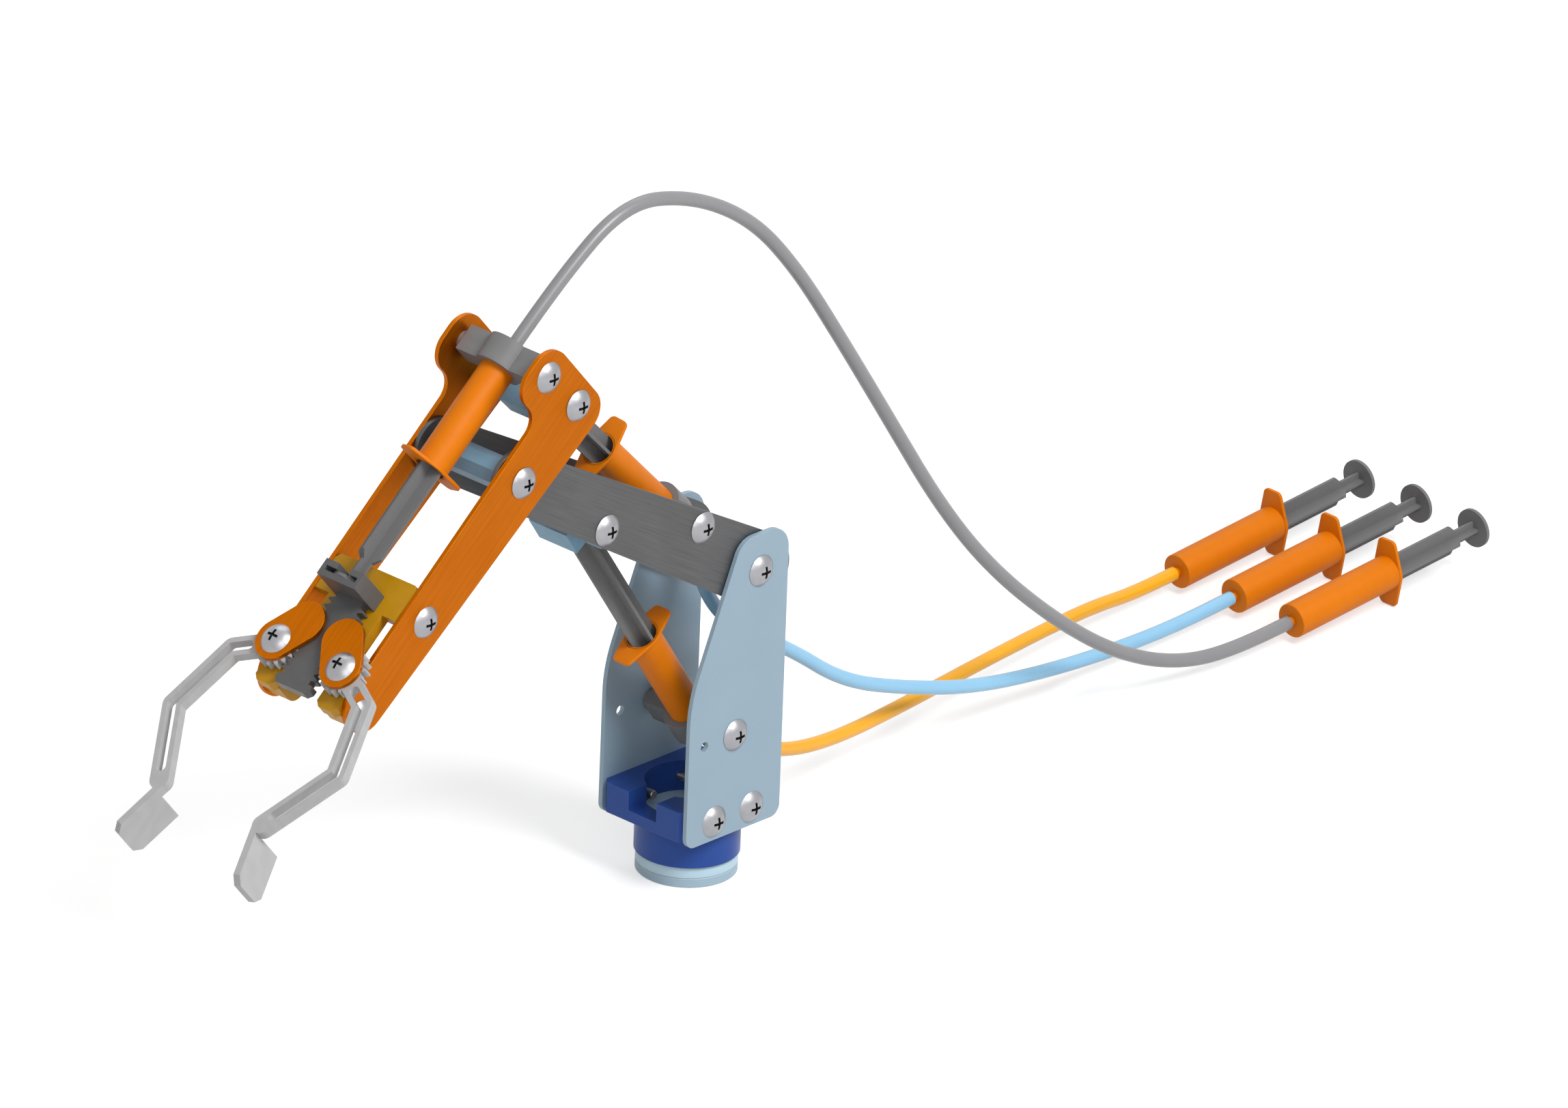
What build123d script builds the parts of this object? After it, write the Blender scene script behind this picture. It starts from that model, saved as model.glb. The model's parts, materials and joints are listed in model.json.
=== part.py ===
from build123d import *
import math
import os

os.makedirs("parts", exist_ok=True)

# Hydraulic robot arm. Millimetres, +X toward the gripper, +Y to the left side, +Z up,
# origin at the centre of the underside of the foot.

# Sheet metal and its spacing
plate_t = 2.0
frame_gap = 46.5
plate_clear = 0.25
seat_gap = 0.05
frame_in = frame_gap / 2
frame_out = frame_in + plate_t
arm_out = frame_in - plate_clear
arm_in = arm_out - plate_t

# Screws with a mushroom head
screw_r = 2.0
head_r = 6.9
head_h = 3.3
screw_len = 12.0
block_screw_len = 16.0
thread_gap = 0.03
turn_gap = 0.08
slip_gap = 0.15
tip_gap = 0.4

# Foot, turret and the block between the side plates
foot_r = 21.3
foot_edge = 4.2
foot_top = 9.2
foot_top_r = 20.7
turret_r = 22.1
turret_top = 26.3
spindle_r = 12.0
disc_r = 18.5
disc_t = 3.0
well_gap = 0.1
block_l = 55.0
block_h = 13.5
block_corner = 2.8
notch_w = 16.0
notch_floor = 31.3

# Side plates
plate_over_rear = 0.3
plate_short_front = 0.2
plate_rear = -block_l / 2 - plate_over_rear
plate_front = block_l / 2 - plate_short_front
plate_foot = 24.2
plate_top = 156.4
plate_bend_z = 90.55
plate_top_front = -0.1
plate_bend_r = 57.5
plate_foot_r = 5.0
plate_crest_r = 10.3
plate_back_r = 11.0
block_screw_x = 11.0
block_screw_z = 32.6
spare_hole_x = 18.3
spare_hole_r = 2.15

# Pivots of the frame and the pose of the arm at rest
shoulder_x = -11.7
shoulder_z = 139.4
lift_x = 0.2
lift_z = 68.6
arm_angle = 30.05
forearm_angle = -40.9

# Upper arm, along its own axis from the shoulder
arm_len = 165.55
arm_r = 16.0
arm_end_r = 12.6
arm_over = 3.5
elbow_bracket_at = 43.2
elbow_bracket_up = 8.2
lift_holder_at = 100.7
lift_holder_up = -6.5
spacer_flat = 13.0

# Forearm, along the gripper cylinder from its bracket screw
fore_back = -11.7
fore_rise = 11.8
fore_step_at = 15.5
fore_top = -9.0
fore_end = 164.9
fore_low = -32.9
fore_heel = -40.7
elbow_at = 38.2
elbow_up = -24.4
elbow_holder_at = -1.8
elbow_holder_up = -25.2
base_rear_at = 109.8
base_rear_up = -23.05
base_front_at = 157.5
base_front_up = -22.3

# Radial room that the two opened linkage pivots need over the travel
lift_play = 2.1
elbow_play = 2.1

# Cylinders
barrel_r = 7.5
barrel_wall = 0.9
barrel_len = 59.3
nose_t = 1.5
nozzle_r = 2.0
nozzle_len = 2.0
nozzle_bore = 0.8
flange_t = 1.5
flange_half = 15.25
flange_tip_w = 9.8
flange_tip_r = 2.5
flange_rim = 0.4
seal_gap = 0.06
seal_t = 4.2
seal_rest = 20.0
rib_w = 12.9
rib_t = 1.3
rib_neck_w = 6.6
rib_neck = 11.0
rib_step = 3.0
thumb_r = 8.5
thumb_t = 1.5
thumb_gap = 0.3
control_reach = 108.0

# Brackets round the cylinder noses
bracket_back = 6.3
bracket_front = 5.7
bracket_wall = 3.1
bracket_h = 10.5
boss_r = 4.75
boss_len = 2.4
ring_r = 10.5
hose_hole_r = 3.6
bracket_clear = 0.25

# Holders round the thumb discs
holder_front = 8.3
holder_back = 3.8
holder_w = 21.5
holder_h = 22.4
holder_arm = 11.0
holder_seat = -2.6
holder_clear = 0.3

# Gripper: base, rack and the two geared fingers
base_back = 101.3
base_step = 118.7
base_neck_w = 30.2
base_prong = 145.0
base_front = 165.0
base_slot = 128.0
base_slot_w = 24.0
base_top = -9.4
base_t = 5.5
base_corner = 2.3
lug_w = 13.6
lug_r = 6.0
hub_pad = 0.5
hub_pad_r = 7.9
module = 1.1
gear_teeth = 18
pressure = 20.0
backlash = 0.22
rack_half = 9.7
rack_gap = 0.1
rack_t = 4.6
rack_teeth = 11
rack_tip = 163.9
rack_tip_from = 159.7
rack_tip_cut = 2.0
yoke_back = 111.0
yoke_front = 118.7
yoke_w = 21.7
yoke_top = 9.1
yoke_slot = 2.2
thumb_at = 114.9
finger_at = 148.0
finger_gap = 0.2
finger_t = 4.65
finger_turn = 16.5
finger_rise = 15.2
finger_run = 33.1
finger_drop = 25.8
finger_w = 8.9
finger_slot = 4.2
slot_from = 13.4
pad_from = 78.2
pad_to = 101.7
pad_face = -14.9
pad_t = 3.2
pad_depth = 20.0
pad_corner = 3.4
link_r = 9.5
link_back = 11.3
link_in = 7.4

# Control syringes beside the arm and the hoses to them
control_x = -346.5
control_z = 10.6
control_tilt = 4.84
control_y_grip = 14.5
control_y_elbow = -18.5
control_y_lift = -51.5
hose_r = 3.0
bend_share = 0.45


def put(piece, x, z, angle, y=0.0):
    return Pos(x, y, z) * Rot(0, -angle, 0) * piece


def local(x, z, angle, along, up):
    a = math.radians(angle)
    return (x + along * math.cos(a) - up * math.sin(a), z + along * math.sin(a) + up * math.cos(a))


def rod(r, x0, x1):
    return Pos(x0, 0, 0) * Rot(0, 90, 0) * Cylinder(r, x1 - x0, align=(Align.CENTER, Align.CENTER, Align.MIN))


def pin(r, y0, y1, x=0.0, z=0.0):
    shaft = Cylinder(r, y1 - y0, align=(Align.CENTER, Align.CENTER, Align.MIN))
    return Pos(x, y1, z) * Rot(90, 0, 0) * shaft


def post(r, z0, z1, x=0.0, y=0.0):
    return Pos(x, y, z0) * Cylinder(r, z1 - z0, align=(Align.CENTER, Align.CENTER, Align.MIN))


def bar(x0, x1, y0, y1, z0, z1):
    return Pos((x0 + x1) / 2, (y0 + y1) / 2, (z0 + z1) / 2) * Box(x1 - x0, y1 - y0, z1 - z0)


def slab(sketch, y0, y1):
    return extrude(Plane.XZ.offset(-y1) * sketch, amount=y1 - y0)


def group(*pieces):
    return Compound(children=list(pieces))


def outline(points, radii):
    return make_face(FilletPolyline(*points, radius=radii, close=True))


def both_sides(piece):
    return group(piece, mirror(piece, about=Plane.XZ))


# Where the pivots lie in the part's own frame
elbow_x, elbow_z = local(shoulder_x, shoulder_z, arm_angle, arm_len, 0)
bracket_x, bracket_z = local(shoulder_x, shoulder_z, arm_angle, elbow_bracket_at, elbow_bracket_up)
lift_end_x, lift_end_z = local(shoulder_x, shoulder_z, arm_angle, lift_holder_at, lift_holder_up)
grip_x, grip_z = local(elbow_x, elbow_z, forearm_angle, -elbow_at, -elbow_up)
elbow_end_x, elbow_end_z = local(grip_x, grip_z, forearm_angle, elbow_holder_at, elbow_holder_up)
lift_reach = math.hypot(lift_end_x - lift_x, lift_end_z - lift_z)
lift_angle = math.degrees(math.atan2(lift_end_z - lift_z, lift_end_x - lift_x))
elbow_reach = math.hypot(elbow_end_x - bracket_x, elbow_end_z - bracket_z)
elbow_angle = math.degrees(math.atan2(elbow_end_z - bracket_z, elbow_end_x - bracket_x))

nose_at = -bracket_back + bracket_wall
nozzle_at = nose_at - nozzle_len
flange_at = nose_at + barrel_len
bore_r = barrel_r - barrel_wall


def screw(length):
    dome = (head_r ** 2 + head_h ** 2) / (2 * head_h)
    half = math.asin(head_r / dome) / 2
    crown = (dome * math.sin(half), head_h - dome + dome * math.cos(half))
    edges = Polyline((0, head_h), (0, -length), (screw_r, -length), (screw_r, 0), (head_r, 0))
    profile = make_face(edges + ThreePointArc((head_r, 0), crown, (0, head_h)))
    return revolve(Plane.XZ * profile, Axis.Z)


def side_screws(x, z, under, length=screw_len):
    left = Pos(x, under, z) * Rot(-90, 0, 0) * screw(length)
    return both_sides(left)


# Pieces of one cylinder, drawn along +X from the screw of the bracket that holds its nose
def barrel(flange_turn):
    body = rod(barrel_r, nose_at, flange_at) + rod(nozzle_r, nozzle_at, nose_at)
    tip = RectangleRounded(2 * flange_half, flange_tip_w, flange_tip_r) + Circle(barrel_r + flange_rim)
    ear = extrude(make_hull(tip.edges()), amount=flange_t)
    ear = Pos(flange_at - flange_t, 0, 0) * Rot(flange_turn, 0, 0) * Rot(0, 90, 0) * ear
    body += ear
    body -= rod(bore_r, nose_at + nose_t, flange_at + 1)
    body -= rod(nozzle_bore, nozzle_at - 1, nose_at + nose_t + 1)
    return body


def plunger(reach):
    start = seal_rest + seal_t
    disc_at = reach - thumb_t
    turn = disc_at - rib_neck
    edge = [(start, 0), (start, rib_w / 2), (turn - rib_step, rib_w / 2)]
    edge += [(turn, rib_neck_w / 2), (disc_at, rib_neck_w / 2), (disc_at, 0)]
    half = make_face(Polyline(*edge, close=True))
    blade = slab(half + mirror(half, about=Plane.XZ), -rib_t / 2, rib_t / 2)
    return blade + Rot(90, 0, 0) * blade + rod(thumb_r, disc_at, reach)


def seal():
    return chamfer(rod(bore_r - seal_gap, seal_rest, seal_rest + seal_t).edges(), 0.5)


def bracket(half_w):
    bar_half = half_w - boss_len
    body = bar(-bracket_back, bracket_front, -bar_half, bar_half, -bracket_h / 2, bracket_h / 2)
    body += pin(boss_r, -half_w, half_w)
    body += rod(ring_r, -bracket_back, bracket_front)
    body -= rod(barrel_r + seat_gap, nose_at, bracket_front + 1)
    body -= rod(hose_hole_r, -bracket_back - 1, nose_at + 1)
    return body


def screw_holes(body, half_w, under, length=screw_len):
    hole = pin(screw_r + thread_gap, under - length - tip_gap, half_w + 1)
    return body - hole - mirror(hole, about=Plane.XZ)


def holder(half_w):
    body = bar(-holder_front, holder_back, -holder_w / 2, holder_w / 2, -holder_h / 2, holder_h / 2)
    body += bar(holder_back - holder_arm, holder_back, -half_w, half_w, -holder_arm / 2, holder_arm / 2)
    seat = thumb_r + thumb_gap
    way = rib_neck_w / 2 + thumb_gap
    thumb = Circle(seat) + Pos(-holder_h / 2, 0) * Rectangle(holder_h, 2 * seat)
    neck = Circle(way) + Pos(-holder_h / 2, 0) * Rectangle(holder_h, 2 * way)
    seat_w = thumb_t + 2 * thumb_gap
    body -= Pos(holder_seat - thumb_gap, 0, 0) * Rot(0, 90, 0) * extrude(thumb, amount=seat_w)
    body -= Pos(-holder_front - 1, 0, 0) * Rot(0, 90, 0) * extrude(neck, amount=holder_front + 1 + holder_seat)
    return body


# Foot with its spindle, and the disc and screw that keep the turret on it
foot = post(foot_r, 0, foot_edge)
foot += Pos(0, 0, foot_edge) * Cone(foot_r, foot_top_r, foot_top - foot_edge, align=(Align.CENTER, Align.CENTER, Align.MIN))
foot += post(spindle_r, foot_top, turret_top - disc_t)
foot -= post(screw_r + thread_gap, turret_top - screw_len - tip_gap, turret_top)
foot = foot.clean()
retaining_disc = post(disc_r, turret_top - disc_t, turret_top) - post(screw_r + thread_gap, 0, turret_top + 1)
retaining_screw = Pos(0, 0, turret_top) * screw(screw_len)

# Turret and block in one piece: bored for the spindle, with a well for the retaining disc
block_top = turret_top + block_h
turntable_block = post(turret_r, foot_top + slip_gap, turret_top + 1)
block_plan = chamfer(Rectangle(block_l, frame_gap).vertices(), block_corner)
turntable_block += Pos(0, 0, turret_top) * extrude(block_plan, amount=block_h)
turntable_block -= post(disc_r + well_gap, turret_top - disc_t - slip_gap, block_top + 1)
turntable_block -= post(spindle_r + turn_gap, 0, block_top)
turntable_block -= bar(0, block_l, -notch_w / 2, notch_w / 2, notch_floor, block_top + 1)
block_hole = pin(screw_r + thread_gap, 0, frame_out, 0, block_screw_z)
for hole_x in (-block_screw_x, block_screw_x):
    turntable_block -= Pos(hole_x, 0, 0) * block_hole
    turntable_block -= Pos(hole_x, -frame_out, 0) * block_hole
block_screws = group(
    side_screws(-block_screw_x, block_screw_z, frame_out, block_screw_len),
    side_screws(block_screw_x, block_screw_z, frame_out, block_screw_len),
)

# Side plates
side_sketch = outline(
    [
        (plate_rear, plate_foot),
        (plate_front, plate_foot),
        (plate_front, plate_bend_z),
        (plate_top_front, plate_top),
        (plate_rear, plate_top),
    ],
    [plate_foot_r, plate_foot_r, plate_bend_r, plate_crest_r, plate_back_r],
)
side_sketch -= Pos(shoulder_x, shoulder_z) * Circle(screw_r + turn_gap)
side_sketch -= Pos(lift_x, lift_z) * Circle(screw_r + turn_gap)
side_sketch -= Pos(spare_hole_x, lift_z) * Circle(spare_hole_r)
side_sketch -= Pos(-block_screw_x, block_screw_z) * Circle(screw_r + thread_gap)
side_sketch -= Pos(block_screw_x, block_screw_z) * Circle(screw_r + thread_gap)
side_plate_left = slab(side_sketch, frame_in, frame_out)
side_plate_right = mirror(side_plate_left, about=Plane.XZ)

# Upper arm plates, with running holes for the elbow cylinder's bracket
# and wide holes for the holder of the lift cylinder
arm_ends = Pos(-arm_over, 0) * Circle(arm_r) + Pos(arm_len + arm_over, 0) * Circle(arm_end_r)
arm_sketch = make_hull(arm_ends.edges())
arm_sketch -= Circle(screw_r + thread_gap)
arm_sketch -= Pos(arm_len, 0) * Circle(screw_r + thread_gap)
arm_sketch -= Pos(elbow_bracket_at, elbow_bracket_up) * Circle(screw_r + turn_gap)
arm_sketch -= Pos(lift_holder_at, lift_holder_up) * Circle(screw_r + lift_play)
upper_arm_plate_left = put(slab(arm_sketch, arm_in, arm_out), shoulder_x, shoulder_z, arm_angle)
upper_arm_plate_right = mirror(upper_arm_plate_left, about=Plane.XZ)

spacer = slab(RegularPolygon(spacer_flat / 2, 8, major_radius=False), -arm_in, arm_in)
spacer = screw_holes(spacer, arm_in, frame_out + slip_gap)
shoulder_spacer = put(spacer, shoulder_x, shoulder_z, arm_angle)
elbow_spacer = put(spacer, elbow_x, elbow_z, arm_angle)
shoulder_screws = side_screws(shoulder_x, shoulder_z, frame_out + slip_gap)
elbow_screws = side_screws(elbow_x, elbow_z, frame_out + slip_gap)

# Lift cylinder between the side plates and the upper arm
lift_w = frame_in - bracket_clear
lift_bracket = put(screw_holes(bracket(lift_w), lift_w, frame_out + slip_gap), lift_x, lift_z, lift_angle)
lift_bracket_screws = side_screws(lift_x, lift_z, frame_out + slip_gap)
lift_barrel = put(barrel(13), lift_x, lift_z, lift_angle)
lift_plunger = put(plunger(lift_reach + holder_seat + thumb_t), lift_x, lift_z, lift_angle)
lift_seal = put(seal(), lift_x, lift_z, lift_angle)
lift_hold_w = arm_in - holder_clear
lift_holder = screw_holes(holder(lift_hold_w), lift_hold_w, arm_out + slip_gap)
lift_holder = put(lift_holder, lift_end_x, lift_end_z, lift_angle)
lift_holder_screws = side_screws(lift_end_x, lift_end_z, arm_out + slip_gap)

# Elbow cylinder between the upper arm and the forearm
elbow_w = arm_in - holder_clear
elbow_bracket = screw_holes(bracket(elbow_w), elbow_w, arm_out + slip_gap)
elbow_bracket = put(elbow_bracket, bracket_x, bracket_z, elbow_angle)
elbow_bracket_screws = side_screws(bracket_x, bracket_z, arm_out + slip_gap)
elbow_barrel = put(barrel(13), bracket_x, bracket_z, elbow_angle)
elbow_plunger = put(plunger(elbow_reach + holder_seat + thumb_t), bracket_x, bracket_z, elbow_angle)
elbow_seal = put(seal(), bracket_x, bracket_z, elbow_angle)
elbow_hold_w = frame_in - holder_clear
elbow_holder = screw_holes(holder(elbow_hold_w), elbow_hold_w, frame_out + slip_gap)
elbow_holder = put(elbow_holder, elbow_end_x, elbow_end_z, elbow_angle)
elbow_holder_screws = side_screws(elbow_end_x, elbow_end_z, frame_out + slip_gap)

# Forearm plates
fore_sketch = outline(
    [
        (fore_back, fore_rise),
        (fore_step_at, fore_rise),
        (fore_step_at, fore_top),
        (fore_end, fore_top),
        (fore_end, fore_low),
        (fore_back, fore_heel),
    ],
    [fore_rise, 10.0, 8.0, 11.9, 11.9, 10.0],
)
fore_sketch -= Circle(screw_r + thread_gap)
fore_sketch -= Pos(elbow_holder_at, elbow_holder_up) * Circle(screw_r + elbow_play)
fore_sketch -= Pos(elbow_at, elbow_up) * Circle(screw_r + turn_gap)
fore_sketch -= Pos(base_rear_at, base_rear_up) * Circle(screw_r + thread_gap)
fore_sketch -= Pos(base_front_at, base_front_up) * Circle(screw_r + thread_gap)
forearm_plate_left = put(slab(fore_sketch, frame_in, frame_out), grip_x, grip_z, forearm_angle)
forearm_plate_right = mirror(forearm_plate_left, about=Plane.XZ)


def on_forearm(piece):
    return put(piece, grip_x, grip_z, forearm_angle)


# Gripper cylinder, fixed in the forearm
gripper_bracket = on_forearm(screw_holes(bracket(frame_in), frame_in, frame_out))
gripper_bracket_screws = on_forearm(side_screws(0, 0, frame_out))
gripper_barrel = on_forearm(barrel(-31.2))
gripper_plunger = on_forearm(plunger(thumb_at + thumb_t / 2))
gripper_seal = on_forearm(seal())

# Gripper base: a forked plate with lugs for the cross screws
finger_side = rack_half - module + module * gear_teeth / 2
half_plan = make_face(
    Polyline(
        (base_back, 0),
        (base_back, frame_in - base_corner),
        (base_back + base_corner, frame_in),
        (base_step, frame_in),
        (base_step, base_neck_w / 2),
        (base_prong, base_neck_w / 2),
        (base_prong, frame_in),
        (base_front - base_corner, frame_in),
        (base_front, frame_in - base_corner),
        (base_front, base_slot_w / 2 + base_corner),
        (base_front - base_corner, base_slot_w / 2),
        (base_slot, base_slot_w / 2),
        (base_slot, 0),
        close=True,
    )
)
base_plan = half_plan + mirror(half_plan, about=Plane.XZ)
gripper_base = Pos(0, 0, base_top - base_t) * extrude(base_plan, amount=base_t)
hub_spots = Pos(finger_at, finger_side) * Circle(hub_pad_r) + Pos(finger_at, -finger_side) * Circle(hub_pad_r)
gripper_base += Pos(0, 0, base_top - 1) * extrude(base_plan & hub_spots, amount=1 + hub_pad)
for lug_at, lug_up in ((base_rear_at, base_rear_up), (base_front_at, base_front_up)):
    top_up = base_top - base_t + 1
    lug_sketch = Pos(lug_at, lug_up) * Circle(lug_r)
    lug_sketch += Pos(lug_at, (top_up + lug_up) / 2) * Rectangle(2 * lug_r, top_up - lug_up)
    lug = slab(lug_sketch, base_slot_w / 2, frame_in)
    hole = pin(screw_r + thread_gap, frame_out - screw_len - tip_gap, frame_out, lug_at, lug_up)
    gripper_base += lug + mirror(lug, about=Plane.XZ)
    gripper_base -= hole
    gripper_base -= mirror(hole, about=Plane.XZ)
pivot_hole = post(screw_r + thread_gap, base_top - base_t - 1, 0, finger_at, finger_side)
gripper_base -= pivot_hole
gripper_base -= mirror(pivot_hole, about=Plane.XZ)
gripper_base = on_forearm(gripper_base)
gripper_base_screws = on_forearm(
    group(
        side_screws(base_rear_at, base_rear_up, frame_out),
        side_screws(base_front_at, base_front_up, frame_out),
    )
)

# Rack: straight-sided teeth on both edges, and the yoke that holds the plunger's thumb disc
pitch = math.pi * module
lean = math.tan(math.radians(pressure))
rack_root = rack_half - 2.25 * module
rack_bottom = base_top + rack_gap
half_tip = pitch / 4 - backlash / 4 - module * lean
half_root = half_tip + 2.25 * module * lean
last_tooth = finger_at + 2.5 * pitch
edge = [(rack_tip - rack_tip_cut, rack_half), (rack_tip_from, rack_half), (rack_tip_from, rack_root)]
for k in range(rack_teeth):
    at = last_tooth - k * pitch
    edge += [(at + half_root, rack_root), (at + half_tip, rack_half)]
    edge += [(at - half_tip, rack_half), (at - half_root, rack_root)]
edge += [(yoke_front - 1, rack_root), (yoke_front - 1, 0), (rack_tip, 0), (rack_tip, rack_half - rack_tip_cut)]
half_rack = make_face(Polyline(*edge, close=True))
rack_plan = half_rack + mirror(half_rack, about=Plane.XZ)
gripper_rack = Pos(0, 0, rack_bottom) * extrude(rack_plan, amount=rack_t)
yoke = bar(yoke_back, yoke_front, -yoke_w / 2, yoke_w / 2, rack_bottom, yoke_top)
disc_seat = Circle(thumb_r + thumb_gap) + Pos(-thumb_r, 0) * Rectangle(2 * thumb_r, 2 * (thumb_r + thumb_gap))
neck_r = rib_neck_w / 2 + thumb_gap
neck_seat = Circle(neck_r) + Pos(-thumb_r, 0) * Rectangle(2 * thumb_r, 2 * neck_r)
yoke -= Pos(thumb_at - yoke_slot / 2, 0, 0) * Rot(0, 90, 0) * extrude(disc_seat, amount=yoke_slot)
yoke -= Pos(yoke_back - 1, 0, 0) * Rot(0, 90, 0) * extrude(neck_seat, amount=thumb_at - yoke_back + 1)
gripper_rack = on_forearm(gripper_rack + yoke)

# Geared fingers: involute gear, slotted cranked arm and a deep pad
pitch_r = module * gear_teeth / 2
base_r = pitch_r * math.cos(math.radians(pressure))
tip_r = pitch_r + module
root_r = pitch_r - 1.25 * module


def involute(r):
    a = math.acos(min(1.0, base_r / r))
    return math.tan(a) - a


def tooth_points(centre):
    widest = math.pi / (2 * gear_teeth) - backlash / (4 * pitch_r) + involute(pitch_r)
    flank = [(root_r - 0.5, widest)]
    for r in (base_r, (base_r + pitch_r) / 2, pitch_r, (pitch_r + tip_r) / 2, tip_r):
        flank.append((r, widest - involute(r)))
    points = [(r, centre + a) for r, a in flank]
    points += [(r, centre - a) for r, a in reversed(flank)]
    return [(r * math.cos(a), r * math.sin(a)) for r, a in points]


finger_sketch = Circle(root_r)
mesh_turn = math.radians(-90 - finger_turn)
for k in range(gear_teeth):
    tooth = Polyline(*tooth_points(mesh_turn + k * 2 * math.pi / gear_teeth), close=True)
    finger_sketch += make_face(tooth)
crank = [
    (0, 0),
    (finger_rise, finger_rise),
    (finger_rise + finger_run, finger_rise),
    (finger_rise + finger_run + finger_drop, finger_rise - finger_drop),
]


def slot_between(p, q, width):
    turn = math.degrees(math.atan2(q[1] - p[1], q[0] - p[0]))
    middle = Pos((p[0] + q[0]) / 2, (p[1] + q[1]) / 2)
    return middle * SlotCenterToCenter(math.dist(p, q), width, rotation=turn)


for p, q in zip(crank, crank[1:]):
    finger_sketch += slot_between(p, q, finger_w)
slot_start = slot_from / math.hypot(*crank[1])
finger_sketch -= slot_between((crank[1][0] * slot_start, crank[1][1] * slot_start), crank[1], finger_slot)
finger_sketch -= slot_between(crank[1], crank[2], finger_slot)
slot_end = (crank[3][0] - finger_slot, crank[3][1] + finger_slot)
finger_sketch -= slot_between(crank[2], slot_end, finger_slot)
pad_back = pad_face + pad_t
finger_sketch += Pos((crank[3][0] + pad_from + 1) / 2, (pad_face + pad_back) / 2) * Rectangle(
    pad_from + 1 - crank[3][0], pad_t
)
finger_sketch -= Circle(screw_r + turn_gap)
finger_low = base_top + hub_pad + finger_gap
finger_top = finger_low + finger_t
finger = Pos(0, 0, finger_low) * extrude(finger_sketch, amount=finger_t)
pad_sketch = Pos((pad_from + pad_to) / 2, finger_top - pad_depth / 2) * Rectangle(pad_to - pad_from, pad_depth)
pad_sketch = chamfer(pad_sketch.vertices().group_by(Axis.X)[-1], pad_corner)
finger += slab(pad_sketch, pad_face, pad_back)
finger = Rot(0, 0, finger_turn) * finger
finger_left = on_forearm(Pos(finger_at, finger_side, 0) * finger)
finger_right = mirror(finger_left, about=Plane.XZ)

# Cover links over the mesh, and the pivot screws of the fingers
link_low = finger_top + finger_gap
link_from = (finger_at, finger_side)
link_to = (finger_at - link_back, finger_side - link_in)
link = slot_between(link_from, link_to, 2 * link_r) - Pos(*link_from) * Circle(screw_r + thread_gap)
cover_link = on_forearm(Pos(0, 0, link_low) * extrude(link, amount=plate_t))
cover_links = both_sides(cover_link)
pivot_screw = on_forearm(Pos(finger_at, finger_side, link_low + plate_t) * screw(screw_len))
finger_screws = both_sides(pivot_screw)

# Control syringes, lying behind the arm
control_turn = 180 - control_tilt
control_lean = math.radians(control_turn)
start_x = control_x - nose_at * math.cos(control_lean)
start_z = control_z - nose_at * math.sin(control_lean)


def control(piece, y):
    return put(piece, start_x, start_z, control_turn, y)


control_barrel_grip = control(barrel(0), control_y_grip)
control_barrel_elbow = control(barrel(0), control_y_elbow)
control_barrel_lift = control(barrel(0), control_y_lift)
control_plunger_grip = control(plunger(control_reach), control_y_grip)
control_plunger_elbow = control(plunger(control_reach), control_y_elbow)
control_plunger_lift = control(plunger(control_reach), control_y_lift)
control_seal_grip = control(seal(), control_y_grip)
control_seal_elbow = control(seal(), control_y_elbow)
control_seal_lift = control(seal(), control_y_lift)


# Hoses: straight runs joined by tangent arcs, from the nozzle in the arm to the control nozzle
def hose(name, x, z, angle, first, middle, last, y_end):
    start = local(x, z, angle, nozzle_at, 0)
    leave = local(x, z, angle, nozzle_at - first, 0)
    end = local(start_x, start_z, control_turn, nozzle_at, 0)
    arrive = local(start_x, start_z, control_turn, nozzle_at - last, 0)
    points = [Vector(start[0], 0, start[1]), Vector(leave[0], 0, leave[1])]
    for x_at, z_at in middle:
        points.append(Vector(x_at, y_end * (leave[0] - x_at) / (leave[0] - arrive[0]), z_at))
    points += [Vector(arrive[0], y_end, arrive[1]), Vector(end[0], y_end, end[1])]
    radii = []
    for a, b, c in zip(points, points[1:], points[2:]):
        turn = math.radians((b - a).get_angle(c - b))
        radii.append(bend_share * min((b - a).length, (c - b).length) / math.tan(turn / 2))
    path = FilletPolyline(*points, radius=radii)
    tube = sweep(Plane(origin=points[0], z_dir=points[1] - points[0]) * Circle(hose_r), path)
    ideal = math.pi * hose_r ** 2 * path.length
    print(name, "length", round(path.length, 1), "volume ratio", round(tube.volume / ideal, 4))
    print("  radii", [round(r) for r in radii])
    print("  points", [(round(p.X, 2), round(p.Y, 2), round(p.Z, 2)) for p in points])
    return tube


gripper_route = [
    (52.0, 316.5),
    (14.0, 308.5),
    (-21.0, 288.0),
    (-48.0, 258.0),
    (-75.0, 218.5),
    (-104.0, 174.5),
    (-135.0, 127.0),
    (-166.0, 89.0),
    (-205.0, 53.5),
    (-243.0, 26.5),
    (-280.0, 11.0),
]
elbow_route = [
    (-1.5, 133.0),
    (-12.0, 113.5),
    (-31.0, 97.0),
    (-62.0, 78.5),
    (-96.0, 53.0),
    (-135.0, 37.0),
    (-180.0, 22.5),
    (-225.0, 14.6),
    (-270.0, 9.9),
]
lift_route = [
    (-21.2, 46.4),
    (-40.0, 41.4),
    (-67.0, 28.5),
    (-102.0, 21.3),
    (-147.0, 18.8),
    (-195.0, 17.9),
    (-243.0, 16.3),
    (-288.0, 13.9),
]
gripper_hose = hose("gripper_hose", grip_x, grip_z, forearm_angle, 34.0, gripper_route, 30.0, control_y_grip)
elbow_hose = hose("elbow_hose", bracket_x, bracket_z, elbow_angle, 17.0, elbow_route, 30.0, control_y_elbow)
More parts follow.
